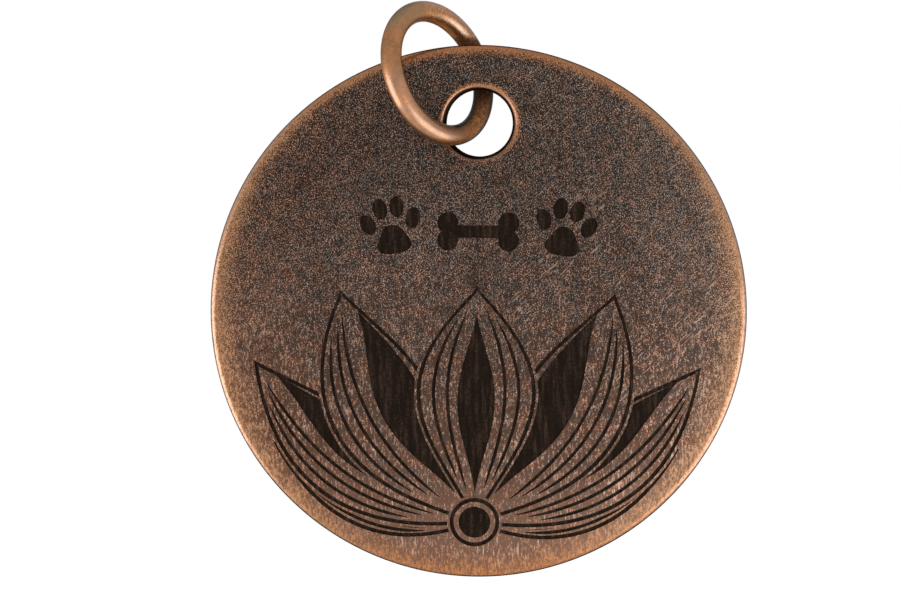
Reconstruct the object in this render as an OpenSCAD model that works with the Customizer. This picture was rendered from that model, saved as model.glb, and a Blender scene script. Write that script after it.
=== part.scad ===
// Round metal pet tag hanging from a plain wire ring.
// The origin is the middle of the ring's eye. +X is to the right as the tag's face is seen,
// +Y runs into the tag from its face, and +Z is up.

/* [Tag] */
// Diameter of the tag
tag_d = 32; // [24:1:40]
// Thickness of the tag
tag_t = 1.5; // [1.2:0.1:1.9]
// Radius of the rounding on the tag's outer edges
rim_round_r = 0.4; // [0.2:0.05:0.55]
// Metal left between the hole and the tag's outer edge
hole_inset = 2.6; // [2:0.1:3.2]
// Radius of the rounding on the hole's edges
hole_round_r = 0.4; // [0.3:0.05:0.55]

/* [Ring] */
// Diameter of the ring's wire
wire_d = 1.2; // [0.8:0.1:1.4]
// Free room that the hole leaves beside the wire
hole_play = 2.7; // [2.5:0.1:3.4]
// Free room inside the ring beside the metal that it goes round
ring_play = 3.7; // [3.4:0.1:6]
// Width of the slit where the wire's two ends meet
slit_w = 0.06; // [0.04:0.01:0.2]
// Place of the slit round the ring, in degrees from the ring's lowest point
slit_at = 97; // [80:1:110]

/* [Ring at rest] */
// Turn of the ring about the vertical, in degrees
ring_turn = -41; // [-46:1:-34]
// Lean of the ring's axis above the level, in degrees
ring_lean = 17; // [10:1:24]
// How far the ring's middle stands in front of the tag's middle plane
ring_forward = 0.85; // [0.6:0.05:1.1]
// How far the wire passes to the left of the hole's middle
wire_left = 0.44; // [0.2:0.02:0.56]
// How far the wire passes below the hole's middle
wire_below = 0.19; // [0:0.01:0.4]

/* [Hidden] */

// Smoothness of large and of small circles
$fn = 128;
small_fn = 48;
// Overrun of every cut past the surface that it opens
overrun = 0.5;

// The hole takes the wire and its play, and the ring takes the metal outside the hole and its play
hole_d = wire_d + hole_play;
hole_up = tag_d / 2 - hole_inset - hole_d / 2;
ring_id = hole_inset + ring_play;
ring_mid_r = (ring_id + wire_d) / 2;

// A point of the wire's middle line, at an angle round the ring from its lowest point
function ring_point(turned) = [
    ring_mid_r * (cos(turned) * sin(ring_lean) * cos(ring_turn) - sin(turned) * sin(ring_turn)),
    ring_mid_r * (cos(turned) * sin(ring_lean) * sin(ring_turn) + sin(turned) * cos(ring_turn)),
    -ring_mid_r * cos(turned) * cos(ring_lean)
];

// Where the wire goes through the tag's middle plane, inside the hole
deep_x = sin(ring_lean) * sin(ring_turn);
deep_y = cos(ring_turn);
deep_length = norm([deep_x, deep_y]);
through_at = atan2(deep_y, deep_x) - acos(ring_forward / (ring_mid_r * deep_length));
through = ring_point(through_at);

// The tag lies where its hole takes the wire
hole_at = [through[0] + wire_left, ring_forward, through[2] + wire_below];
tag_at = [hole_at[0], hole_at[1], hole_at[2] - hole_up];

// Half section of a round plate with rounded edges
module plate_section(radius, thickness, round_r) {
    translate([0, -thickness / 2])
        square([radius - round_r, thickness]);
    translate([0, round_r - thickness / 2])
        square([radius, thickness - 2 * round_r]);
    for (side = [-1, 1])
        translate([radius - round_r, side * (thickness / 2 - round_r)])
            circle(r = round_r, $fn = small_fn);
}

// Half section of the collar of metal round the hole: its rounded edges, and as much full metal outside them
module hole_section(radius, thickness, round_r) {
    translate([radius, round_r - thickness / 2])
        square([2 * round_r, thickness - 2 * round_r]);
    translate([radius + round_r, -thickness / 2])
        square([round_r, thickness]);
    for (side = [-1, 1])
        translate([radius + round_r, side * (thickness / 2 - round_r)])
            circle(r = round_r, $fn = small_fn);
}

// Stamped round tag, drawn flat and then stood up with its face to the front
module tag_disc() {
    color([0.38, 0.29, 0.24])
        translate(tag_at)
            rotate([90, 0, 0]) {
                // The blank is cut to the middle of the collar, which laps it
                difference() {
                    rotate_extrude()
                        plate_section(tag_d / 2, tag_t, rim_round_r);
                    translate([0, hole_up, -tag_t / 2 - overrun])
                        cylinder(r = hole_d / 2 + hole_round_r, h = tag_t + 2 * overrun);
                }
                translate([0, hole_up, 0])
                    rotate_extrude()
                        hole_section(hole_d / 2, tag_t, hole_round_r);
            }
}

// Round wire bent into a ring, its two ends facing each other across a fine slit
module jump_ring() {
    color([0.69, 0.49, 0.34])
        rotate([0, 90 - ring_lean, ring_turn])
            difference() {
                rotate_extrude()
                    translate([ring_mid_r, 0])
                        circle(d = wire_d, $fn = small_fn);
                rotate([0, 0, slit_at])
                    translate([ring_mid_r - wire_d / 2 - overrun, -slit_w / 2, -wire_d / 2 - overrun])
                        cube([wire_d + 2 * overrun, slit_w, wire_d + 2 * overrun]);
            }
}

jump_ring();
tag_disc();
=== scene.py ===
"""Round antique copper pet tag hanging from its wire ring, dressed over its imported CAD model.

Each piece is worked in millimetres at the bench, on axes that match the frame's, and is
settled into the frame in metres when it is done.
"""
import logging
import math
from dataclasses import dataclass
from dataclasses import field
from enum import Enum
from functools import partial
from typing import Callable
from typing import Union

import bpy
from mathutils import Matrix
from mathutils import Vector


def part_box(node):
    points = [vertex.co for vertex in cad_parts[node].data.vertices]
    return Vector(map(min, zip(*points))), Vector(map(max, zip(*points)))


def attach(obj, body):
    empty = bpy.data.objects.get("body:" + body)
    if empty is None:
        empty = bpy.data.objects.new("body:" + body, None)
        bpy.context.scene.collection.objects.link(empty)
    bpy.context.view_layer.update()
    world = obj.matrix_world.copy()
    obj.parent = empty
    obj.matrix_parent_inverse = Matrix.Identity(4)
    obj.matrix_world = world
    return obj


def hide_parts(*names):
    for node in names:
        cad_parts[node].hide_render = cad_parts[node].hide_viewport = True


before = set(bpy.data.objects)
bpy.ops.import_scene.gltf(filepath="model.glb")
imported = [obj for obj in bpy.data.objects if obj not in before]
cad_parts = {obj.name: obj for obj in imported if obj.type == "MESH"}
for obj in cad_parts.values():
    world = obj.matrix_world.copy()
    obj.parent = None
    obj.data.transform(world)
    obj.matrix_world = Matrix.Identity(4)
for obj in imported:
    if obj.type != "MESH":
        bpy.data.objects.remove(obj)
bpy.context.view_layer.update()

LOG = logging.getLogger("pet_tag")
METRES_PER_MM = 0.001
WELD_DISTANCE = 0.0005  # millimetres, at the bench
BUMP_HEIGHT = 0.00001  # metres, in a finish
SMOOTH_ANGLE = math.radians(30)
COAT_INDEX = 2.0

Piece = bpy.types.Object
Socket = bpy.types.NodeSocket
Point = tuple[float, float]
Pair = tuple[Point, Point]
Edges = Callable[[float], Pair]
Triple = tuple[float, float, float]
Colour = Triple


class Body(Enum):
    """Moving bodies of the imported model."""

    RING = "ring"
    TAG = "tag"


class CadNode(Enum):
    """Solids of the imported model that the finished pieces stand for."""

    RING = "jump_ring"
    TAG = "tag_disc"


class Slot(Enum):
    """Material slots of the record."""

    SATIN = "satin_copper"
    ANTIQUE = "antique_copper"


class Side(Enum):
    """Which side of the tag's upright middle line a motif stands on, and its sign along X."""

    LEFT = -1
    RIGHT = 1


class Cut(Enum):
    """What a tool does to the piece that it meets."""

    AWAY = "DIFFERENCE"
    TOGETHER = "UNION"


class Bench:
    """The hand tools that every piece is made with."""

    @staticmethod
    def clear() -> None:
        """Leave edit mode and let go of everything."""
        if bpy.context.mode != "OBJECT":
            bpy.ops.object.mode_set(mode="OBJECT")
        bpy.ops.object.select_all(action="DESELECT")

    @staticmethod
    def hold(piece: Piece) -> None:
        """Take one piece in hand, alone.

        Args:
            piece: The piece.
        """
        Bench.clear()
        piece.select_set(True)
        bpy.context.view_layer.objects.active = piece

    @staticmethod
    def named(name: str) -> Piece:
        """Name the primitive that was just added, and put its place and turn into its mesh.

        Args:
            name: Its name.

        Returns:
            The primitive.
        """
        piece = bpy.context.active_object
        piece.name = name
        piece.data.name = name
        bpy.ops.object.transform_apply(location=True, rotation=True, scale=True)
        return piece

    @staticmethod
    def edit(piece: Piece, kind: str) -> None:
        """Open a piece for work on its vertices, edges or faces, with nothing picked.

        Args:
            piece: The mesh to open.
            kind: VERT, EDGE or FACE.
        """
        Bench.hold(piece)
        bpy.ops.object.mode_set(mode="EDIT")
        bpy.ops.mesh.select_mode(type=kind)
        bpy.ops.mesh.select_all(action="DESELECT")

    @staticmethod
    def pick(piece: Piece, kind: str, wanted: Callable[[Vector, Vector], bool]) -> None:
        """Pick edges by their two ends, or faces by centre and normal, and stay in edit mode.

        Args:
            piece: The mesh to pick on.
            kind: EDGE or FACE.
            wanted: Says yes to an edge's two ends, or to a face's centre and normal.
        """
        Bench.edit(piece, kind)
        bpy.ops.object.mode_set(mode="OBJECT")
        points = piece.data.vertices
        if kind == "EDGE":
            for edge in piece.data.edges:
                edge.select = wanted(*(points[end].co for end in edge.vertices))
        else:
            for face in piece.data.polygons:
                face.select = wanted(face.center, face.normal)
        bpy.ops.object.mode_set(mode="EDIT")

    @staticmethod
    def work(piece: Piece, tool: Piece, cut: Cut) -> None:
        """Cut a tool away from a piece or fuse it on, and put the tool away.

        Args:
            piece: The mesh that stays.
            tool: The closed mesh that is used up.
            cut: Whether it is cut away or fused on.
        """
        Bench.hold(piece)
        bpy.ops.object.modifier_add(type="BOOLEAN")
        step = piece.modifiers[-1]
        step.operation = cut.value
        step.solver = "EXACT"
        step.use_self = True
        step.object = tool
        bpy.ops.object.modifier_apply(modifier=step.name)
        Bench.hold(tool)
        bpy.ops.object.delete()

    @staticmethod
    def join(parts: list[Piece]) -> Piece:
        """Join meshes into the first of them.

        Args:
            parts: The meshes.

        Returns:
            The joined mesh.
        """
        Bench.clear()
        for part in parts:
            part.select_set(True)
        bpy.context.view_layer.objects.active = parts[0]
        bpy.ops.object.join()
        return bpy.context.active_object

    @staticmethod
    def settle(piece: Piece, place: Vector, turn: Triple) -> None:
        """Set a finished piece into the frame, with its place, turn and size in its mesh.

        Args:
            piece: The mesh, in millimetres about the bench's middle.
            place: Where the bench's middle goes, in metres.
            turn: Turns about X, Y and Z, in radians.
        """
        Bench.hold(piece)
        piece.scale = (METRES_PER_MM,) * 3
        piece.rotation_euler = turn
        piece.location = place
        bpy.ops.object.transform_apply(location=True, rotation=True, scale=True)


Level = Union["Signal", float]


class Signal:
    """A number that varies over a surface, wrapped so that Python's operators add Math nodes."""

    def __init__(self, tree: "FinishTree", socket: Socket) -> None:
        """Wrap an output socket of a finish's tree."""
        self.tree = tree
        self.socket = socket

    def math(self, operation: str, first: Level, second: Level) -> "Signal":
        """Add one Math node and give back its result."""
        node = self.tree.node("ShaderNodeMath", {"operation": operation}, {0: first, 1: second})
        return Signal(self.tree, node.outputs[0])

    def __add__(self, other: Level) -> "Signal":
        """Sum."""
        return self.math("ADD", self, other)

    def __radd__(self, other: Level) -> "Signal":
        """Sum, from the right."""
        return self.math("ADD", other, self)

    def __sub__(self, other: Level) -> "Signal":
        """Difference."""
        return self.math("SUBTRACT", self, other)

    def __rsub__(self, other: Level) -> "Signal":
        """Difference, from the right."""
        return self.math("SUBTRACT", other, self)

    def __mul__(self, other: Level) -> "Signal":
        """Product."""
        return self.math("MULTIPLY", self, other)

    def __rmul__(self, other: Level) -> "Signal":
        """Product, from the right."""
        return self.math("MULTIPLY", other, self)

    def __truediv__(self, other: Level) -> "Signal":
        """Quotient."""
        return self.math("DIVIDE", self, other)

    def __rtruediv__(self, other: Level) -> "Signal":
        """Quotient, from the right."""
        return self.math("DIVIDE", other, self)

    def __pow__(self, other: Level) -> "Signal":
        """Power."""
        return self.math("POWER", self, other)

    def __rpow__(self, other: Level) -> "Signal":
        """Power, from the right."""
        return self.math("POWER", other, self)

    def most(self, other: Level) -> "Signal":
        """The larger of two."""
        return self.math("MAXIMUM", self, other)

    def least(self, other: Level) -> "Signal":
        """The smaller of two."""
        return self.math("MINIMUM", self, other)

    def ramp(self, start: float, end: float, low: float = 0.0, high: float = 1.0) -> "Signal":
        """Smooth step.

        Args:
            start: The level at which it leaves low.
            end: The level at which it reaches high.
            low: Result up to start.
            high: Result from end on.

        Returns:
            The stepped signal.
        """
        settings = {"interpolation_type": "SMOOTHSTEP"}
        inputs = {0: self, 1: start, 2: end, 3: low, 4: high}
        node = self.tree.node("ShaderNodeMapRange", settings, inputs)
        return Signal(self.tree, node.outputs[0])


Feed = Union[Signal, Socket, float, tuple[float, ...]]
Inputs = dict[Union[int, str], Feed]


class FinishTree:
    """The node tree of a material or of the world, with one method that adds any node."""

    def __init__(self, owner: Union[bpy.types.Material, bpy.types.World]) -> None:
        """Empty the tree of a new material or world.

        Args:
            owner: The material or the world.
        """
        owner.use_nodes = True
        self.owner = owner
        self.nodes = owner.node_tree.nodes
        self.links = owner.node_tree.links
        self.nodes.clear()

    def node(self, kind: str, settings: dict[str, object], inputs: Inputs) -> bpy.types.Node:
        """Add a node.

        Args:
            kind: The node's type.
            settings: Its properties, which are set before its sockets.
            inputs: Values or links, by socket number or name.

        Returns:
            The node.
        """
        node = self.nodes.new(kind)
        for name, value in settings.items():
            setattr(node, name, value)
        for key, feed in inputs.items():
            source = feed.socket if isinstance(feed, Signal) else feed
            if isinstance(source, Socket):
                self.links.new(source, node.inputs[key])
            else:
                node.inputs[key].default_value = source
        return node

    def mapped(self, where: Socket, **changes: Feed) -> Socket:
        """Move, turn or scale coordinates with one Mapping node."""
        inputs = {"Vector": where, **changes}
        return self.node("ShaderNodeMapping", {"vector_type": "POINT"}, inputs).outputs[0]

    def place(self, centre: Vector) -> Socket:
        """Object coordinates in millimetres about a piece's middle, which is given in metres."""
        where = self.node("ShaderNodeTexCoord", {}, {}).outputs["Object"]
        return self.mapped(where, Location=tuple(-centre / METRES_PER_MM), Scale=(1 / METRES_PER_MM,) * 3)

    def laid(
        self, where: Socket, turn: float, stretch: Triple, shift: Triple = (0.0, 0.0, 0.0)
    ) -> Socket:
        """Coordinates turned about Y by some degrees, then stretched and shifted along each axis."""
        turned = self.mapped(where, Rotation=(0.0, math.radians(turn), 0.0))
        return self.mapped(turned, Scale=stretch, Location=shift)

    def noise(self, where: Socket, scale: float, detail: float = 2.0, rough: float = 0.5) -> Signal:
        """Noise about one half, with so many features in a millimetre and octaves of detail."""
        inputs = {"Vector": where, "Scale": scale, "Detail": detail, "Roughness": rough}
        return Signal(self, self.node("ShaderNodeTexNoise", {}, inputs).outputs[0])

    def mix(self, share: Level, under: Feed, over: Feed, blend: str = "MIX") -> Socket:
        """Mix two colours.

        Args:
            share: How much of the second is taken.
            under: The first colour.
            over: The second colour.
            blend: The Mix node's way of blending.

        Returns:
            The mixed colour.
        """
        settings = {"data_type": "RGBA", "blend_type": blend, "clamp_factor": True}
        colours = [c + (1.0,) if isinstance(c, tuple) else c for c in (under, over)]
        node = self.node("ShaderNodeMix", settings, {0: share, 6: colours[0], 7: colours[1]})
        return node.outputs[2]

    def vector(self, operation: str, *vectors: Feed, **named: Feed) -> Socket:
        """Add one Vector Math node and give back its vector."""
        inputs = {**dict(enumerate(vectors)), **named}
        return self.node("ShaderNodeVectorMath", {"operation": operation}, inputs).outputs[0]

    def measure(self, operation: str, *vectors: Feed) -> Signal:
        """Add one Vector Math node and give back its number."""
        node = self.node("ShaderNodeVectorMath", {"operation": operation}, dict(enumerate(vectors)))
        return Signal(self, node.outputs["Value"])

    def reach(self, where: Socket, axis_at: Triple) -> Signal:
        """Distance from a line through some point of the tag, straight from face to back."""
        moved = self.vector("SUBTRACT", where, axis_at)
        return self.measure("LENGTH", self.vector("MULTIPLY", moved, (1.0, 0.0, 1.0)))

    def axis(self, where: Socket, name: str) -> Signal:
        """One coordinate, X, Y or Z."""
        return Signal(self, self.node("ShaderNodeSeparateXYZ", {}, {0: where}).outputs[name])

    def bump(self, relief: Signal, strength: float) -> Socket:
        """Normals of a fine relief, whose height is given from 0 to 1."""
        inputs = {"Strength": strength, "Distance": BUMP_HEIGHT, "Height": relief}
        return self.node("ShaderNodeBump", {}, inputs).outputs[0]

    def surface(self, inputs: Inputs) -> bpy.types.Material:
        """Finish the material with one surface shader.

        Args:
            inputs: The shader's values or links.

        Returns:
            The material.
        """
        shader = self.node("ShaderNodeBsdfPrincipled", {}, inputs)
        self.node("ShaderNodeOutputMaterial", {}, {"Surface": shader.outputs[0]})
        return self.owner


@dataclass(frozen=True)
class AntiqueCopper:
    """Copper darkened with a patina, tumbled until its rim, its hole and its specks shine, with painted
    light that darkens it toward the top and lightens it toward the foot.
    """

    cool: Colour = (0.040, 0.0260, 0.0214)
    warm: Colour = (0.068, 0.0310, 0.0175)
    speck: Colour = (0.80, 0.555, 0.415)
    bronze: Colour = (0.158, 0.104, 0.075)
    glint: Colour = (0.92, 0.64, 0.49)
    bare: Colour = (0.43, 0.168, 0.058)
    rosy: Colour = (0.43, 0.204, 0.094)
    # Pale copper, for a painted highlight spread over the lower right of the rim band.
    pale: Colour = (0.44, 0.240, 0.130)
    blue: Colour = (0.885, 1.04, 1.17)
    red: Colour = (1.10, 0.925, 0.865)
    edge: Colour = (0.25, 0.17, 0.13)
    # Near-black, for the oxide on the rim's side wall and in the hole, and for painted shade in the hole.
    oxide_and_painted_shade: Colour = (0.006, 0.0045, 0.004)
    dust_scale: float = 21.0
    brush_scale: float = 10.0
    scuff_scale: float = 14.0
    patch_scale: float = 0.6
    cloud_scale: float = 1.3
    shade_scale: float = 0.9
    shade_shift: Triple = (31.0, 7.0, 3.0)
    rim_start: float = 0.62
    rim_spread: float = 2.2
    rim_fade: float = 0.30
    rim_curve: float = 3.0
    least_rim: float = 0.05
    bump: float = 0.5

    def grain(self, tree: FinishTree, where: Socket, low: Signal) -> Signal:
        """Fine dust of pits and specks, brushed upright toward the foot.

        Args:
            tree: The finish's tree.
            where: Coordinates in millimetres.
            low: 0 in the upper half and 1 at the foot.

        Returns:
            The dust, about one half in the middle.
        """
        dust = tree.noise(tree.laid(where, 0.0, (1.0, 1.0, 0.80)), self.dust_scale, 0.0)
        brush = tree.noise(tree.laid(where, 2.0, (1.0, 1.0, 0.42)), self.brush_scale, 0.5)
        share = low ** 0.5 * 0.5
        both = (dust - 0.5) * (1.0 - share) + (brush - 0.5) * share
        return both * (1.0 + share * 0.4) + 0.5

    def scuffs(self, tree: FinishTree, where: Socket, turn: float, shift: float) -> Signal:
        """Short bright scuffs that run one way.

        Args:
            tree: The finish's tree.
            where: Coordinates in millimetres.
            turn: Which way they run, in degrees from upright.
            shift: Offset that gives another set.

        Returns:
            How bright the scuff is, from 0 to 1.
        """
        lane = tree.laid(where, turn, (1.0, 1.0, 0.13), (shift, shift, shift))
        marks = tree.noise(lane, self.scuff_scale, 0.0).ramp(0.65, 0.78)
        area = tree.laid(where, 0.0, (1.0, 1.0, 1.0), (shift, 0.0, 9.0))
        return marks * tree.noise(area, self.patch_scale).ramp(0.44, 0.66)

    def rim_band(
        self, tag: "TagDisc", out: Signal, across: Signal, height: Signal, stray: Signal
    ) -> Signal:
        """Bare copper on the rim: a fine band at the top, which widens toward the foot, partly as wear
        and partly as painted light from below.

        Args:
            tag: The tag.
            out: Distance from the tag's axis.
            across: X coordinate.
            height: Z coordinate.
            stray: Noise about nought that frays the band's edge.

        Returns:
            0 where the patina is whole, 1 where it is gone.
        """
        widen = height.ramp(15.0, -5.0, 0.12, 1.08) - height.ramp(-9.0, -15.0) * 0.33
        widen = (widen + across * height.ramp(-6.0, -12.0) * 0.007).most(self.least_rim)
        spread = widen * self.rim_spread
        start = tag.radius - self.rim_start - spread
        climb = (out - start + stray * (widen + 0.2)) / (spread + self.rim_fade)
        return climb.most(0.0).least(1.0) ** self.rim_curve

    def hole_band(self, tag: "TagDisc", hole: Signal, height: Signal, stray: Signal) -> Signal:
        """Bare copper round the hole, from 0 where the patina is whole to 1, and less below it."""
        below = (height - tag.hole_up).ramp(-2.3, 0.2, 0.35, 0.95)
        return (hole - stray * 0.2).ramp(tag.hole_radius + 0.49, tag.hole_radius + 0.30) * below

    def material(self, tag: "TagDisc") -> bpy.types.Material:
        """Make the finish for a tag.

        Args:
            tag: The tag, whose rim and hole carry the wear, the dark walls and some painted light and
                shade.

        Returns:
            The material.
        """
        tree = FinishTree(bpy.data.materials.new("antique_copper_patina"))
        where = tree.place(tag.centre)
        out = tree.reach(where, (0.0, 0.0, 0.0))
        hole = tree.reach(where, (0.0, 0.0, tag.hole_up))
        across = tree.axis(where, "X")
        height = tree.axis(where, "Z")
        low = height.ramp(5.0, -9.0)
        grain = self.grain(tree, where, low)
        clouds = tree.noise(where, self.cloud_scale, 3.0, 0.6)
        area = tree.laid(where, 0.0, (1.0, 1.0, 1.0), self.shade_shift)
        shades = tree.noise(area, self.shade_scale, 3.0, 0.6)
        scuffs = self.scuffs(tree, where, 3.0, 2.0) * (low * 0.5 + 0.2)
        slant = across.ramp(-4.0, 5.0, 0.0, 0.8) * height.ramp(-9.0, -2.0)
        scuffs = scuffs.most(self.scuffs(tree, where, -45.0, 14.0) * slant)

        side = across.most(across * -1.0)
        verge = out.ramp(9.5, 13.0) * side.ramp(3.0, 10.0) * height.ramp(-8.0, 0.0)
        verge = verge * (height - across * 0.25).ramp(12.0, 4.0)
        lit = grain + (clouds - 0.5) * 0.13 + (shades - 0.5) * 0.10 + verge * 0.035
        hue = clouds.ramp(0.32, 0.68)
        metal = tree.mix(lit.ramp(0.53, 0.79), tree.mix(hue, self.cool, self.warm), self.speck)
        smooth = low * 0.30 + height.ramp(-7.0, -13.0) * 0.28 + verge * 0.12 + 0.06
        metal = tree.mix(smooth, metal, self.bronze)
        ruddy = height.ramp(9.0, -13.0) * 0.62 + (hue - 0.5) * 0.65 + 0.25
        ruddy = ruddy + height.ramp(-10.0, -15.0) * 0.25
        ruddy = ruddy + out.ramp(9.0, 13.0) * across.ramp(-3.0, -10.0) * 0.35
        tint = tree.mix(ruddy, self.blue, self.red)
        metal = tree.mix(1.0, metal, tint, "MULTIPLY")
        metal = tree.mix(scuffs * 0.5, metal, self.glint)
        # Painted light in part: the face is made darker toward the top and lighter toward the foot, the
        # sheen term is a painted sheen on the lower right, and three more patches are lightened; the rest
        # is patina that varies from place to place.
        painted_sheen = (across - height).ramp(9.0, 24.0)
        tone_and_painted_light = height.ramp(-16.0, 10.0, 0.98, 0.44) + across * 0.002 + painted_sheen * 0.08
        tone_and_painted_light = tone_and_painted_light + height.ramp(-9.0, -14.0) * 0.13
        upper_left = across.ramp(0.5, -4.0) * out.ramp(10.5, 7.0) * height.ramp(-2.0, 2.0)
        lower_right = out.ramp(12.0, 13.5) * across.ramp(4.0, 9.0) * height.ramp(-5.0, -9.0)
        upper_edge = out.ramp(13.5, 14.8) * height.ramp(2.0, 8.0)
        tone_and_painted_light = tone_and_painted_light + upper_left * 0.08 + lower_right * 0.20 + upper_edge * 0.07
        metal = tree.mix(1.0, metal, tone_and_painted_light, "MULTIPLY")

        stray = (shades - 0.5) * 0.9 + (grain - 0.5) * 2.4
        rub = self.rim_band(tag, out, across, height, stray)
        rub = rub.most(self.hole_band(tag, hole, height, stray))
        wear_and_painted_light = tree.mix(side.ramp(2.0, 13.0), self.bare, self.rosy)
        # Painted highlight: the outer band on the lower right is mixed toward pale copper.
        wear_and_painted_light = tree.mix(across.ramp(2.0, 12.0) * out.ramp(15.7, 15.3) * 0.8, wear_and_painted_light, self.pale)
        # Painted light: bare copper is made lighter toward the foot and darker toward the top, over its
        # own grain.
        shine = (0.875 - height * 0.004) * grain.ramp(0.33, 0.66, 0.58, 1.13)
        wear_and_painted_light = tree.mix(1.0, wear_and_painted_light, shine, "MULTIPLY")
        metal = tree.mix(rub * 0.94, metal, wear_and_painted_light)
        # Oxide on the side wall and in the bore, with painted shade: the dark band reaches further in
        # toward the foot and round the left of the hole.
        wall_oxide_and_shade = (out + height.ramp(-2.0, -14.0) * 0.07).ramp(tag.radius - 0.10, tag.radius - 0.03)
        bore = hole - across.ramp(0.8, -1.6) * 0.09
        wall_oxide_and_shade = wall_oxide_and_shade.most(bore.ramp(tag.hole_radius + 0.17, tag.hole_radius + 0.09))
        metal = tree.mix(wall_oxide_and_shade * 0.94, metal, self.oxide_and_painted_shade)
        depth = tree.axis(where, "Y")
        scraped = depth.most(depth * -1.0).ramp(0.58, 0.28) * height.ramp(13.0, 10.0)
        scraped = scraped * (clouds.ramp(0.35, 0.65, 0.10, 0.45) + scuffs * 0.2)
        metal = tree.mix(wall_oxide_and_shade * scraped, metal, wear_and_painted_light)

        bare = rub * (1.0 - wall_oxide_and_shade)
        handled = side.ramp(9.0, 14.0) * out.ramp(15.70, 15.84)
        handled = handled.most(hole.ramp(tag.hole_radius + 0.42, tag.hole_radius + 0.28) * 0.6)
        relief = grain * 0.8 + scuffs * 0.3
        return tree.surface({
            "Base Color": metal,
            "Metallic": 1.0,
            "Specular Tint": self.edge + (1.0,),
            "Roughness": 0.54 - bare * 0.16 + (grain - 0.5) * 0.25,
            "Coat Weight": bare * (0.22 + handled * 0.54),
            "Coat IOR": COAT_INDEX,
            "Coat Roughness": 0.22,
            "Normal": tree.bump(relief, self.bump),
        })


@dataclass(frozen=True)
class BurntCopper:
    """The floor of the engraving, burnt nearly black, with faint upright streaks."""

    deep: Colour = (0.0115, 0.0076, 0.0055)
    pale: Colour = (0.050, 0.0315, 0.0225)
    edge: Colour = (0.12, 0.085, 0.07)
    streak_scale: float = 4.0
    grain_scale: float = 9.0
    bump: float = 0.5

    def material(self, tag: "TagDisc") -> bpy.types.Material:
        """Make the finish for a tag's engraving.

        Args:
            tag: The tag that is engraved.

        Returns:
            The material.
        """
        tree = FinishTree(bpy.data.materials.new("burnt_engraving"))
        where = tree.place(tag.centre)
        lane = tree.laid(where, 2.0, (1.0, 1.0, 0.12))
        streaks = tree.noise(lane, self.streak_scale, 3.0, 0.65)
        grain = tree.noise(where, self.grain_scale, 2.0, 0.7)
        shade = tree.mix((streaks * 0.6 + grain * 0.4).ramp(0.44, 0.72), self.deep, self.pale)
        return tree.surface({
            "Base Color": shade,
            "Metallic": 1.0,
            "Specular Tint": self.edge + (1.0,),
            "Roughness": 0.62 + (grain - 0.5) * 0.3,
            "Normal": tree.bump(grain, self.bump),
        })


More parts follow.
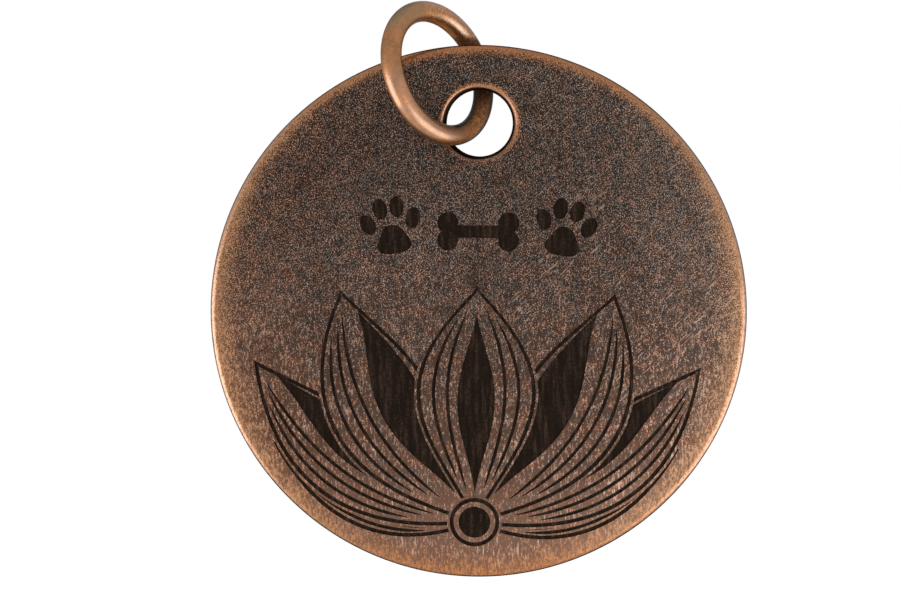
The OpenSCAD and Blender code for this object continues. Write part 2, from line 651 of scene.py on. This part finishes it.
@dataclass(frozen=True)
class SatinCopper:
    """Drawn copper wire, tumbled satin, with a trace of patina left in its grain, and painted shade and a
    painted highlight where it passes the tag.
    """

    copper: Colour = (0.385, 0.158, 0.055)
    tarnish: Colour = (0.245, 0.117, 0.050)
    olive: Colour = (0.300, 0.172, 0.082)
    green: Colour = (0.150, 0.130, 0.088)
    # Brown for patina behind the tag's face, and for painted shade where the wire passes the tag.
    patina_and_shade_brown: Colour = (0.166, 0.068, 0.025)
    glint: Colour = (0.62, 0.30, 0.15)
    # Pale copper for a painted highlight on the wire's upper right limb.
    pale: Colour = (0.74, 0.52, 0.37)
    edge: Colour = (0.20, 0.17, 0.16)
    # Near-black painted shade for the wire's flanks, for its top in the hole and for where it meets the
    # tag's edge.
    painted_shade: Colour = (0.010, 0.007, 0.005)
    cloud_scale: float = 1.6
    grain_scale: float = 9.0
    speck_scale: float = 12.0
    bump: float = 0.35

    def facing(self, tree: FinishTree, where: Socket, spoke: Socket, ring: "WireRing") -> Signal:
        """How far the wire's surface is turned from its left and right flanks.

        Args:
            tree: The finish's tree.
            where: Coordinates in millimetres.
            spoke: The way from the ring's axis to each point, square to the axis.
            ring: The ring.

        Returns:
            0 on the flanks, and 1 where the wire faces straight to the front or the back.
        """
        spoke = tree.vector("NORMALIZE", spoke)
        middle = tree.vector("SCALE", spoke, Scale=ring.middle_radius)
        outward = tree.axis(tree.vector("SUBTRACT", where, middle), "Y")
        along = tree.axis(tree.vector("CROSS_PRODUCT", ring.axis(), spoke), "Y")
        turned = outward / (1.0 - along * along) ** 0.5 / ring.wire_radius
        return turned.most(turned * -1.0)

    def material(self, ring: "WireRing") -> bpy.types.Material:
        """Make the finish for a ring.

        Args:
            ring: The ring. Its flanks are painted dark as shade, and its stretch behind the tag's face is
                browned, partly as patina and partly as painted shade.

        Returns:
            The material.
        """
        tree = FinishTree(bpy.data.materials.new("satin_copper_wire"))
        where = tree.place(Vector((0.0, 0.0, 0.0)))
        behind = tree.axis(where, "Y").ramp(-0.9, 0.7)
        height = tree.axis(where, "Z")
        # Painted shade mask: the wire behind the tag, below its top edge and in the hole.
        through = behind * height.ramp(2.35, 1.95)
        clouds = tree.noise(where, self.cloud_scale, 4.0, 0.7)
        grain = tree.noise(where, self.grain_scale, 3.0, 0.7)
        specks = tree.noise(where, self.speck_scale, 1.0, 0.6)
        aside = tree.measure("DOT_PRODUCT", where, ring.axis())
        spoke = tree.vector("SUBTRACT", where, tree.vector("SCALE", ring.axis(), Scale=aside))
        outer = tree.measure("LENGTH", spoke) - ring.middle_radius
        colour = tree.mix(clouds.ramp(0.38, 0.62) * 0.8, self.copper, self.tarnish)
        colour = tree.mix(height.ramp(1.6, 3.6) * (1.0 - behind) * 0.7, colour, self.olive)
        tinge = outer.ramp(0.15, 0.55) * height.ramp(1.8, 3.4) * (1.0 - behind * 0.6)
        colour = tree.mix(tinge * 0.6, colour, self.green)
        # Brown behind the tag's face, partly patina and partly painted shade, and fully brown as painted
        # shade in the tag's shadow.
        colour = tree.mix(behind * grain.ramp(0.52, 0.38) * 0.6, colour, self.patina_and_shade_brown)
        colour = tree.mix(through * grain.ramp(0.70, 0.40), colour, self.patina_and_shade_brown)
        colour = tree.mix(behind * specks.ramp(0.54, 0.66) * 0.6, colour, self.glint)
        # Painted shade: the inner flank of the wire's upper limb behind the tag is browned.
        inner = outer.ramp(-0.40, -0.56) * height.ramp(3.4, 2.8)
        colour = tree.mix(behind * inner * 0.35, colour, self.patina_and_shade_brown)
        # Painted highlight: a pale streak on the upper right limb, behind the tag.
        painted_highlight = outer.ramp(-0.50, -0.36) * outer.ramp(-0.06, -0.28)
        painted_highlight = painted_highlight * height.ramp(2.1, 2.5) * height.ramp(3.6, 2.7)
        colour = tree.mix(behind * painted_highlight * 0.8, colour, self.pale)
        mottle = grain.ramp(0.34, 0.66, 0.86, 1.10)
        colour = tree.mix(1.0, colour, mottle, "MULTIPLY")
        # Painted shadow on the wire where it meets the tag's top edge.
        colour = tree.mix(through * height.ramp(1.2, 1.7) * 0.5, colour, self.painted_shade)
        # Painted shade: the wire in the hole is darkened, most at its top under the hole's edge, and the
        # flanks of the whole wire are darkened.
        facing = self.facing(tree, where, spoke, ring)
        inside = tree.axis(where, "Y").ramp(-1.5, -0.8) * height.ramp(0.3, -0.6)
        shaded = (facing + outer * 0.2).ramp(0.86, 0.50).most(height.ramp(-2.2, -1.0) * 0.8)
        painted_shade = (shaded * inside).most(facing.ramp(0.42, 0.14) * 0.8)
        colour = tree.mix(painted_shade, colour, self.painted_shade)
        gleam = height.ramp(0.8, -0.8) * (1.0 - behind) * 0.40 + 0.20
        gleam = gleam + behind * (outer.ramp(-0.4, 0.2) * 0.60 - 0.20)
        # Metallic and coat drop where shade is painted, so that those parts do not reflect the white
        # room.
        return tree.surface({
            "Base Color": colour,
            "Metallic": (1.0 - through * 0.9) * (1.0 - painted_shade * 0.95),
            "Specular IOR Level": 0.05,
            "Specular Tint": self.edge + (1.0,),
            "Roughness": 0.44 + (grain - 0.5) * 0.2 + (clouds - 0.5) * 0.1,
            "Coat Weight": gleam * (1.0 - through) * (1.0 - painted_shade),
            "Coat IOR": COAT_INDEX,
            "Coat Roughness": 0.25,
            "Normal": tree.bump(grain, self.bump),
        })


def swung(point: Point, degrees: float, about: Point) -> Point:
    """A point turned about nought, from X toward Z, and carried to a new middle."""
    cos_turn, sin_turn = math.cos(math.radians(degrees)), math.sin(math.radians(degrees))
    return (
        about[0] + point[0] * cos_turn - point[1] * sin_turn,
        about[1] + point[0] * sin_turn + point[1] * cos_turn,
    )


@dataclass(frozen=True)
class Petal:
    """One petal of the flower, whose midrib bends from the base to the tip.

    Every stroke on it is given by both of its edges, at a share of the stroke's own length.
    """

    base: Point
    bend: Point
    tip: Point
    half_width: float
    belly: float
    side: Side
    fullness: float = 0.95
    outline_start: float = 0.02
    near_tip: float = 0.9999
    taper: Point = (0.25, 6.0)
    crescent_start: float = 0.10
    crescent_end: float = 0.93
    crescent_back: float = -0.86
    crescent_front: float = 0.06
    crescent_fullness: float = 0.6
    spear_start: float = 0.14
    spear_length: float = 0.76
    spear_width: float = 0.33
    spear_fullness: float = 0.8

    def half(self, along: float) -> float:
        """Half of the petal's width.

        Args:
            along: Share of the petal's length.

        Returns:
            The half width, which is nought at both ends.
        """
        if not 0 < along < 1:
            return 0.0
        swell = along ** (math.log(0.5) / math.log(self.belly))
        return self.half_width * math.sin(math.pi * swell) ** self.fullness

    def point(self, along: float, across: float) -> Point:
        """A point of the petal.

        Args:
            along: Share of the midrib's length; past 1 it goes straight on.
            across: Distance outward from the midrib.

        Returns:
            The point's X and Z.
        """
        share = min(along, 1.0)
        corners = list(zip(self.base, self.bend, self.tip))
        x, z = (
            (1 - share) ** 2 * a + 2 * share * (1 - share) * b + share ** 2 * c
            for a, b, c in corners
        )
        run_x, run_z = ((1 - share) * (b - a) + share * (c - b) for a, b, c in corners)
        length = math.hypot(run_x, run_z)
        past = along - share
        x += (across * run_z + past * run_x) / length
        z += (past * run_z - across * run_x) / length
        return x * self.side.value, z

    def pair(self, along: float, near: float, far: float) -> Pair:
        """Two points that face each other across the midrib."""
        return self.point(along, near), self.point(along, far)

    def shadow(self, share: float, spread: float) -> Pair:
        """The whole petal, a little outside its outline.

        Args:
            share: Share of the shape's length.
            spread: How far outside it reaches.

        Returns:
            Its two edges.
        """
        along = share * (1 + spread)
        half = self.half(min(along, 1.0)) + spread * min(1.0, (1 + spread - along) / spread)
        return self.pair(along, -half, half)

    def outline(self, share: float, width: float) -> Pair:
        """The stroke that runs up one side of the petal, round its tip and down the other.

        Args:
            share: Share of the stroke's length.
            width: The stroke's width.

        Returns:
            Its outer and inner edge.
        """
        climb = min(2 * share, 2 - 2 * share)
        if climb > self.near_tip:
            return self.point(1 + width, 0.0), self.point(1, 0.0)
        along = self.outline_start + (1 - self.outline_start) * climb
        sign = 1 if share < 0.5 else -1
        half = self.half(along)
        return self.pair(along, sign * (half + width / 2), sign * max(half - width / 2, 0.0))

    def vein(self, share: float, line: Triple, width: float) -> Pair:
        """A thin vein, pointed at both ends.

        Args:
            share: Share of the vein's length.
            line: Its share of the half width, and its start and end along the petal.
            width: The vein's width.

        Returns:
            Its two edges.
        """
        share_out, start, end = line
        along = start + (end - start) * share
        out = self.half(along) * share_out
        half = width / 2 * min(1.0, self.taper[0] + self.taper[1] * min(share, 1 - share))
        return self.pair(along, out - half, out + half)

    def crescent(self, share: float) -> Pair:
        """The dark crescent behind the midrib.

        Args:
            share: Share of the crescent's length.

        Returns:
            Its straight and its swollen side.
        """
        along = self.crescent_start + (self.crescent_end - self.crescent_start) * share
        swell = max(0.0, math.sin(math.pi * share)) ** self.crescent_fullness
        half = self.half(along)
        reach = self.crescent_back + (self.crescent_front - self.crescent_back) * swell
        return self.pair(along, half * self.crescent_back, half * reach)

    def spear(self, share: float) -> Pair:
        """The dark spear on the midrib.

        Args:
            share: Share of the spear's length.

        Returns:
            Its two sides.
        """
        along = self.spear_start + self.spear_length * share
        swell = max(0.0, math.sin(math.pi * share)) ** self.spear_fullness
        half = self.spear_width * self.half(along) * swell
        return self.pair(along, -half, half)


@dataclass(frozen=True)
class Punch:
    """Maker of closed cutters that reach from one depth to another."""

    low: float
    high: float
    oval_sides: int = 48

    def cutter(self, name: str, place: Callable[[Vector], Point]) -> Piece:
        """Make a closed cutter of the flat shape that was just added.

        Args:
            name: The cutter's name.
            place: Where a corner of the flat shape goes, as X and Z.

        Returns:
            The cutter.
        """
        tool = Bench.named(name)
        for corner in tool.data.vertices:
            x, z = place(corner.co)
            corner.co = (x, self.low, z)
        Bench.edit(tool, "VERT")
        bpy.ops.mesh.select_all(action="SELECT")
        bpy.ops.mesh.remove_doubles(threshold=WELD_DISTANCE)
        bpy.ops.mesh.dissolve_degenerate(threshold=WELD_DISTANCE)
        bpy.ops.mesh.select_all(action="SELECT")
        move = {"value": (0.0, self.high - self.low, 0.0)}
        bpy.ops.mesh.extrude_region_move(TRANSFORM_OT_translate=move)
        bpy.ops.mesh.select_all(action="SELECT")
        bpy.ops.mesh.normals_make_consistent(inside=False)
        Bench.clear()
        return tool

    def band(self, name: str, cells: int, edges: Edges) -> Piece:
        """A cutter from a grid of so many cells, laid between two curves."""
        bpy.ops.mesh.primitive_grid_add(x_subdivisions=cells, y_subdivisions=1, size=1.0)
        return self.cutter(name, lambda at: edges(at.x + 0.5)[int(at.y > 0)])

    def patch(self, name: str, sides: int, rim: Callable[[float], Point]) -> Piece:
        """A cutter from a filled circle of so many sides, shaped by its rim at each angle."""
        bpy.ops.mesh.primitive_circle_add(vertices=sides, radius=1.0, fill_type="NGON")
        return self.cutter(name, lambda at: rim(math.atan2(at.y, at.x)))

    def oval(self, name: str, middle: Point, radii: Point, turn: float = 0.0) -> Piece:
        """An oval cutter, by its middle, its two radii and its turn in degrees."""
        return self.patch(name, self.oval_sides, lambda angle: swung(
            (radii[0] * math.cos(angle), radii[1] * math.sin(angle)), turn, middle
        ))

    def dot(self, name: str, middle: Point, radius: float) -> Piece:
        """A round cutter."""
        return self.oval(name, middle, (radius, radius))


@dataclass
class Engraving:
    """A row of two paw prints and a bone over a lotus, in millimetres from the tag's middle.

    A petal is given by its bend, tip, half width and belly, a line by its share of the half
    width and its start and end along the petal, and a toe by X, Z and its turn in degrees.
    """

    face: float
    depth: float
    overrun: float = 0.3
    stroke: float = 0.20
    outline: float = 0.24
    margin: float = 0.15
    steps: int = 36
    base: Point = (0.0, -12.5)
    boss: float = 1.5
    row_height: float = 5.1
    paw_reach: float = 5.1
    paw_lean: float = -10.0
    pad_sides: int = 72
    pad_radii: Point = (1.02, 0.82)
    pad_drop: float = 0.62
    pad_lobes: float = 0.13
    pad_flat: float = 0.05
    toe_radii: Point = (0.43, 0.63)
    shaft_cells: int = 12
    shaft_reach: float = 1.8
    shaft_half: float = 0.42
    shaft_waist: float = 0.06
    knob_radius: float = 0.62
    knob_rise: float = 0.52
    petals: tuple[tuple[Point, Point, float, float], ...] = (
        ((0.0, -6.0), (0.0, 1.6), 3.45, 0.58),
        ((6.3, -7.4), (8.1, 1.3), 3.1, 0.56),
        ((7.8, -10.6), (13.2, -3.0), 2.5, 0.55),
        ((6.2, -12.8), (12.0, -7.9), 1.55, 0.53),
    )
    lines: tuple[Triple, ...] = (
        (0.28, 0.16, 0.93),
        (0.52, 0.20, 0.90),
        (0.76, 0.24, 0.86),
    )
    core_lines: tuple[Triple, ...] = (
        (0.50, 0.16, 0.92),
        (0.74, 0.20, 0.88),
    )
    toes: tuple[Triple, ...] = (
        (-1.35, 0.55, 22.0),
        (-0.50, 1.35, 6.0),
        (0.50, 1.35, -6.0),
        (1.35, 0.55, -22.0),
    )

    def __post_init__(self) -> None:
        """Set two punches up: one that engraves, and a taller one that trims its cutters."""
        self.cut = Punch(self.face - self.overrun, self.face + self.depth)
        self.trim = Punch(self.face - self.overrun * 2, self.face + self.depth * 3)

    def veins(self, petal: Petal, lines: tuple[Triple, ...]) -> list[Edges]:
        """Both edges of each of a petal's veins."""
        return [partial(petal.vein, line=line, width=self.stroke) for line in lines]

    def petal_tool(self, petal: Petal, fills: list[Edges], in_front: list[Petal]) -> Piece:
        """Draw a petal, and trim it by the petals in front of it and by the boss.

        Args:
            petal: The petal.
            fills: Both edges of its dark part and of its veins.
            in_front: The petals that hide it.

        Returns:
            Its cutter.
        """
        outline = partial(petal.outline, width=self.outline)
        parts = [self.cut.band("petal_outline", 4 * self.steps, outline)]
        parts += [self.cut.band("petal_fill", self.steps, edges) for edges in fills]
        tool = Bench.join(parts)
        for other in in_front:
            shadow = partial(other.shadow, spread=self.outline / 2 + self.margin)
            Bench.work(tool, self.trim.band("petal_shadow", 2 * self.steps, shadow), Cut.AWAY)
        radius = self.boss + self.margin
        Bench.work(tool, self.trim.dot("boss_shadow", self.base, radius), Cut.AWAY)
        return tool

    def flower(self) -> list[Piece]:
        """The lotus: one petal in front, three behind it on each side, and a boss.

        Returns:
            Its cutters.
        """
        front, mirror = (Petal(self.base, *self.petals[0], side) for side in reversed(Side))
        fills = [front.spear]
        fills += self.veins(front, self.core_lines) + self.veins(mirror, self.core_lines)
        tools = [self.petal_tool(front, fills, [])]
        for side in Side:
            in_front = [front]
            for shape in self.petals[1:]:
                petal = Petal(self.base, *shape, side)
                fills = [petal.crescent, *self.veins(petal, self.lines)]
                tools.append(self.petal_tool(petal, fills, in_front))
                in_front.append(petal)
        boss = self.cut.dot("boss_ring", self.base, self.boss)
        inside = self.boss - self.outline
        Bench.work(boss, self.trim.dot("boss_core", self.base, inside), Cut.AWAY)
        return tools + [boss, self.cut.dot("boss_heart", self.base, inside - 2 * self.margin)]

    def paw(self, side: Side) -> list[Piece]:
        """A paw print.

        Args:
            side: Which side of the bone it stands on.

        Returns:
            Its cutters.
        """
        lean = self.paw_lean * side.value
        middle = (self.paw_reach * side.value, self.row_height)

        def pad(angle: float) -> Point:
            """The rim of the large pad, which has three lobes.

            Args:
                angle: The angle in radians.

            Returns:
                The rim's point.
            """
            swell = 1 + self.pad_lobes * math.cos(3 * (angle - math.pi / 2))
            swell -= self.pad_flat * math.cos(2 * angle)
            x = self.pad_radii[0] * swell * math.cos(angle)
            z = self.pad_radii[1] * swell * math.sin(angle) - self.pad_drop
            return swung((x, z), lean, middle)

        tools = [self.cut.patch("paw_pad", self.pad_sides, pad)]
        for x, z, turn in self.toes:
            place = swung((x, z), lean, middle)
            tools.append(self.cut.oval("paw_toe", place, self.toe_radii, turn + lean))
        return tools

    def bone(self) -> Piece:
        """The bone: a shaft with two knobs at each end.

        Returns:
            Its cutter.
        """

        def shaft(share: float) -> Pair:
            """The shaft's two sides, a little waisted.

            Args:
                share: Share of its length.

            Returns:
                The lower and the upper side.
            """
            x = self.shaft_reach * (2 * share - 1)
            waist = self.shaft_half - self.shaft_waist * math.cos(math.pi * (share - 0.5))
            return (x, self.row_height - waist), (x, self.row_height + waist)

        tool = self.cut.band("bone_shaft", self.shaft_cells, shaft)
        for side in Side:
            for rise in (-self.knob_rise, self.knob_rise):
                middle = (side.value * self.shaft_reach, self.row_height + rise)
                knob = self.cut.dot("bone_knob", middle, self.knob_radius)
                Bench.work(tool, knob, Cut.TOGETHER)
        return tool

    def tool(self) -> Piece:
        """All of the engraving as one cutter.

        Returns:
            The cutter.
        """
        parts = self.flower()
        for side in Side:
            parts += self.paw(side)
        parts.append(self.bone())
        return Bench.join(parts)


@dataclass
class TagDisc:
    """Stamped round tag with a rounded rim and hole, engraved on its face, in millimetres."""

    radius: float = 16.0
    thickness: float = 1.5
    rounding: float = 0.4
    hole_radius: float = 1.95
    hole_up: float = 11.45
    engraved: float = 0.05
    rim_sides: int = 256
    hole_sides: int = 96
    round_steps: int = 12
    support: float = 0.03
    slack: float = 0.004
    flat_enough: float = 0.9999
    burnt: int = 1
    centre: Vector = field(default_factory=lambda: sum(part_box(CadNode.TAG.value), Vector()) / 2)

    def from_hole(self, point: Vector) -> float:
        """Distance of a bench point from the hole's axis."""
        return math.hypot(point.x, point.z - self.hole_up)

    def on_edge(self, start: Vector, end: Vector) -> bool:
        """Whether an edge runs round the rim or the hole, on the face or the back.

        Args:
            start: One end of the edge.
            end: The other end.

        Returns:
            Yes or no.
        """
        if abs(start.y - end.y) > self.slack:
            return False
        on_rim = min(math.hypot(p.x, p.z) for p in (start, end)) > self.radius - self.slack
        at_hole = max(self.from_hole(p) for p in (start, end)) < self.hole_radius + self.slack
        return on_rim or at_hole

    def on_flat(self, centre: Vector, normal: Vector) -> bool:
        """Whether a face belongs to the flat face or the flat back."""
        flat = self.thickness / 2 - self.slack
        return abs(normal.y) > self.flat_enough and abs(centre.y) > flat

    def blank(self) -> Piece:
        """Turn the blank, drill its hole and round its edges.

        Returns:
            The blank.
        """
        Bench.clear()
        upright = (math.pi / 2, 0.0, 0.0)
        bpy.ops.mesh.primitive_cylinder_add(
            vertices=self.rim_sides, radius=self.radius, depth=self.thickness, rotation=upright
        )
        disc = Bench.named("engraved_tag")
        Bench.clear()
        bpy.ops.mesh.primitive_cylinder_add(
            vertices=self.hole_sides,
            radius=self.hole_radius,
            depth=2 * self.thickness,
            rotation=upright,
            location=(0.0, 0.0, self.hole_up),
        )
        Bench.work(disc, Bench.named("drill"), Cut.AWAY)
        Bench.pick(disc, "EDGE", self.on_edge)
        bpy.ops.mesh.bevel(offset=self.rounding, segments=self.round_steps, profile=0.5)
        Bench.pick(disc, "FACE", self.on_flat)
        bpy.ops.mesh.inset(thickness=self.support, use_boundary=True)
        Bench.clear()
        return disc

    def engrave(self, disc: Piece) -> None:
        """Cut the engraving into the face, and mark its floor and walls for their own finish.

        Args:
            disc: The blank.
        """
        face = -self.thickness / 2
        Bench.work(disc, Engraving(face, self.engraved).tool(), Cut.AWAY)
        skin = self.engraved / 50
        clear = self.rounding + self.support / 2
        for polygon in disc.data.polygons:
            centre = polygon.center
            sunk = face + skin < centre.y < face + self.engraved + skin
            inside = math.hypot(centre.x, centre.z) < self.radius - clear
            if sunk and inside and self.from_hole(centre) > self.hole_radius + clear:
                polygon.material_index = self.burnt

    def build(self) -> Piece:
        """Make the tag and dress it.

        Returns:
            The finished tag.
        """
        disc = self.blank()
        disc.data.materials.clear()
        disc.data.materials.append(AntiqueCopper().material(self))
        disc.data.materials.append(BurntCopper().material(self))
        self.engrave(disc)
        Bench.hold(disc)
        bpy.ops.object.shade_smooth_by_angle(angle=SMOOTH_ANGLE)
        Bench.settle(disc, self.centre, (0.0, 0.0, 0.0))
        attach(disc, Body.TAG.value)
        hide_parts(CadNode.TAG.value)
        return disc


@dataclass
class WireRing:
    """Round wire bent into a ring, its two cut ends facing each other, in millimetres."""

    wire_radius: float = 0.6
    middle_radius: float = 3.75
    slit: float = 0.06
    slit_at: float = 97.0
    end_rounding: float = 0.09
    lean: float = 17.0
    turn: float = -41.0
    wire_sides: int = 72
    ring_steps: int = 216
    end_steps: int = 5
    sharp: float = 60.0

    def axis(self) -> Triple:
        """The ring's axis in the frame.

        Returns:
            A unit vector.
        """
        lean = math.radians(self.lean)
        turn = math.radians(self.turn)
        return (math.cos(lean) * math.cos(turn), math.cos(lean) * math.sin(turn), math.sin(lean))

    def build(self) -> Piece:
        """Make the ring and dress it.

        Returns:
            The finished ring.
        """
        gap = self.slit / self.middle_radius
        start = math.radians(self.slit_at) + gap / 2
        middle = (self.middle_radius * math.cos(start), self.middle_radius * math.sin(start), 0.0)
        Bench.clear()
        bpy.ops.mesh.primitive_circle_add(
            vertices=self.wire_sides,
            radius=self.wire_radius,
            location=middle,
            rotation=(math.pi / 2, 0.0, start),
        )
        ring = Bench.named("copper_ring")
        Bench.edit(ring, "EDGE")
        bpy.ops.mesh.select_all(action="SELECT")
        bpy.ops.mesh.spin(
            steps=self.ring_steps,
            angle=2 * math.pi - gap,
            center=(0.0, 0.0, 0.0),
            axis=(0.0, 0.0, 1.0),
        )
        bpy.ops.mesh.select_all(action="SELECT")
        bpy.ops.mesh.fill_holes(sides=0)
        bpy.ops.mesh.select_all(action="SELECT")
        bpy.ops.mesh.normals_make_consistent(inside=False)
        bpy.ops.mesh.select_all(action="DESELECT")
        bpy.ops.mesh.edges_select_sharp(sharpness=math.radians(self.sharp))
        bpy.ops.mesh.bevel(offset=self.end_rounding, segments=self.end_steps, profile=0.5)
        Bench.hold(ring)
        bpy.ops.object.shade_smooth_by_angle(angle=SMOOTH_ANGLE)
        ring.data.materials.append(SatinCopper().material(self))
        turns = (0.0, math.radians(90 - self.lean), math.radians(self.turn))
        Bench.settle(ring, Vector((0.0, 0.0, 0.0)), turns)
        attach(ring, Body.RING.value)
        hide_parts(CadNode.RING.value)
        return ring


@dataclass(frozen=True)
class Softbox:
    """A soft rectangular lamp that faces the tag, placed by degrees to the right and above."""

    name: str
    azimuth: float
    elevation: float
    size: Point
    watts: float


@dataclass
class Studio:
    """Pale floor, white surroundings, soft lamps and the camera, in metres."""

    floor_depth: float = 0.10
    floor_size: float = 4.0
    floor_colour: Colour = (0.8, 0.8, 0.8)
    floor_glow: float = 0.86
    floor_shade: float = 0.26
    room_level: float = 0.65
    target: Vector = field(default_factory=lambda: Vector((0.000778, 0.00085, -0.013408)))
    distance: float = 0.090
    azimuth: float = 1.86
    elevation: float = 7.0
    roll: float = 0.60
    focal_pixels: float = 1502.4
    picture_width: int = 900
    sensor_width: float = 36.0
    clip_near: float = 0.005
    clip_far: float = 10.0
    lamp_away: float = 0.12
    lamps: tuple[Softbox, ...] = (
        Softbox("left_softbox", -66.0, -16.0, (0.11, 0.09), 0.112),
        Softbox("right_softbox", 55.0, -24.0, (0.14, 0.10), 0.130),
    )

    def background_share(self, tree: FinishTree) -> Signal:
        """Whether a ray shows the background: from the camera, or off metal or glass.

        Args:
            tree: The tree of the floor or the room.

        Returns:
            1 for such a ray, and 0 for the rest.
        """
        path = tree.node("ShaderNodeLightPath", {}, {})
        share = Signal(tree, path.outputs["Is Camera Ray"])
        for kind in ("Is Glossy Ray", "Is Transmission Ray"):
            share = share.most(Signal(tree, path.outputs[kind]))
        return share

    def floor(self) -> None:
        """Lay the floor, which is white to the camera and still takes the object's shadow."""
        Bench.clear()
        place = (0.0, 0.0, -self.floor_depth)
        bpy.ops.mesh.primitive_plane_add(size=self.floor_size, location=place)
        floor = Bench.named("studio_floor")
        tree = FinishTree(bpy.data.materials.new("pale_floor"))
        matt = tree.node("ShaderNodeBsdfDiffuse", {}, {"Color": self.floor_colour + (1.0,)})
        shade = (self.floor_shade,) * 3 + (1.0,)
        soft = tree.node("ShaderNodeBsdfDiffuse", {}, {"Color": shade})
        glow = tree.node("ShaderNodeEmission", {}, {"Strength": self.floor_glow})
        seen = tree.node("ShaderNodeAddShader", {}, {0: soft.outputs[0], 1: glow.outputs[0]})
        inputs = {0: self.background_share(tree), 1: matt.outputs[0], 2: seen.outputs[0]}
        both = tree.node("ShaderNodeMixShader", {}, inputs)
        tree.node("ShaderNodeOutputMaterial", {}, {"Surface": both.outputs[0]})
        floor.data.materials.append(tree.owner)

    def room(self) -> None:
        """Surround the object with white, which lights it plainly."""
        world = bpy.data.worlds.new("white_room")
        bpy.context.scene.world = world
        tree = FinishTree(world)
        level = self.room_level + self.background_share(tree) * (1.0 - self.room_level)
        light = tree.node("ShaderNodeBackground", {}, {"Color": (1.0,) * 4, "Strength": level})
        tree.node("ShaderNodeOutputWorld", {}, {"Surface": light.outputs[0]})

    def direction(self, azimuth: float, elevation: float) -> Vector:
        """Unit vector away from the tag, by degrees to the right of the front and above level."""
        turn, rise = math.radians(azimuth), math.radians(elevation)
        return Vector((math.sin(turn) * math.cos(rise), -math.cos(turn) * math.cos(rise), math.sin(rise)))

    def lamp(self, softbox: Softbox) -> None:
        """Hang a softbox in front of the tag.

        Args:
            softbox: The lamp's place, size and power.
        """
        out = self.direction(softbox.azimuth, softbox.elevation)
        Bench.clear()
        bpy.ops.object.light_add(type="AREA", location=self.target + out * self.lamp_away)
        lamp = bpy.context.active_object
        lamp.name = softbox.name
        lamp.rotation_euler = out.to_track_quat("Z", "Y").to_euler()
        lamp.data.shape = "RECTANGLE"
        lamp.data.size, lamp.data.size_y = softbox.size
        lamp.data.energy = softbox.watts
        lamp.visible_camera = False

    def camera(self) -> None:
        """Set the camera up where the photograph was taken from."""
        turn = math.radians(self.azimuth)
        back = self.direction(self.azimuth, self.elevation)
        level = Vector((math.cos(turn), math.sin(turn), 0.0))
        upward = back.cross(level)
        tilt = math.radians(self.roll)
        right = math.cos(tilt) * level + math.sin(tilt) * upward
        top = math.cos(tilt) * upward - math.sin(tilt) * level
        Bench.clear()
        bpy.ops.object.camera_add()
        camera = bpy.context.active_object
        place = self.target + back * self.distance
        columns = Matrix((right, top, back)).transposed().to_4x4()
        camera.matrix_world = Matrix.Translation(place) @ columns
        camera.data.sensor_width = self.sensor_width
        camera.data.lens = self.focal_pixels * self.sensor_width / self.picture_width
        camera.data.clip_start = self.clip_near
        camera.data.clip_end = self.clip_far
        bpy.context.scene.camera = camera

    def build(self) -> None:
        """Set up the floor, the room, the lamps and the camera."""
        bpy.context.scene.view_settings.view_transform = "Standard"
        self.floor()
        self.room()
        for softbox in self.lamps:
            self.lamp(softbox)
        self.camera()


def main() -> None:
    """Build the studio and both pieces in order."""
    logging.basicConfig(level=logging.INFO, format="%(message)s")
    Studio().build()
    for maker in (WireRing(), TagDisc()):
        piece = maker.build()
        LOG.info("%s: %d faces", piece.name, len(piece.data.polygons))
    Bench.clear()


if __name__ == "__main__":
    main()
